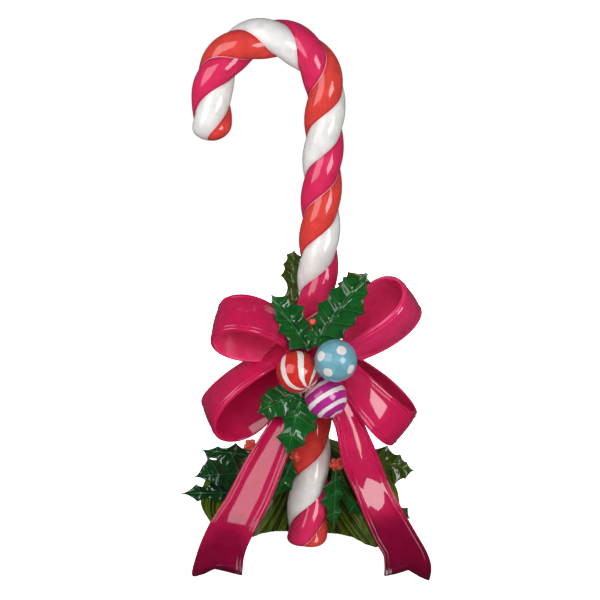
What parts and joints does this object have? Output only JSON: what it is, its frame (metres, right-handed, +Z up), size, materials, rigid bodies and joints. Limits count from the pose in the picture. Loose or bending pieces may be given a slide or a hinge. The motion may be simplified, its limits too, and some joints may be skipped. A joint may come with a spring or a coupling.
{
  "type": "candy cane decoration",
  "caption": "Upright painted candy cane display: a twisted tricolour cane with a ribbon bow, baubles, holly leaves, berries and a pleated mound at its foot.",
  "frame": {"origin": "on the floor in the flat underside, straight below the upright part of the shaft", "axes": "+Z up along the shaft; +X to the right of someone facing the bow, with the hook pointing to -X; -Y to the front"},
  "size_m": [0.4404, 0.3787, 0.9122],
  "materials": {
    "cane": "glossy painted resin, one strand white, one magenta and one orange-red",
    "ribbon": "glossy magenta paint, darker toward the floor",
    "ball_red": "glossy red paint with white meridian stripes",
    "ball_blue": "glossy light blue paint with white dots",
    "ball_purple": "glossy purple paint with white bands",
    "leaf": "glossy green paint",
    "dark_leaf": "glossy dark green paint with paler veins",
    "olive_leaf": "glossy olive green paint",
    "berries": "glossy red paint",
    "mound": "satin olive green paint, darker in the pleats"
  },
  "bodies": {
    "root": {"cane": "cane", "bow_loop_upper_left": "ribbon", "bow_loop_upper_right": "ribbon", "bow_loop_lower_left": "ribbon", "bow_loop_lower_right": "ribbon", "bow_tail_left": "ribbon", "bow_tail_right": "ribbon", "bow_knot": "ribbon", "ball_red": "ball_red", "ball_blue": "ball_blue", "ball_purple": "ball_purple", "leaf_top_left": "leaf", "leaf_top_right": "leaf", "leaf_rear_left": "olive_leaf", "leaf_rear_right": "olive_leaf", "leaf_mid_left": "leaf", "leaf_mid_low": "leaf", "leaf_low_left": "leaf", "leaf_low_middle": "leaf", "leaf_low_right": "leaf", "leaf_left_top": "dark_leaf", "leaf_left_middle": "dark_leaf", "leaf_left_low": "dark_leaf", "leaf_right_top": "olive_leaf", "leaf_right_low": "leaf", "berries_left": "berries", "berries_centre_left": "berries", "berries_centre_right": "berries", "berries_top": "berries", "mound": "mound"}
  },
  "joints": []
}
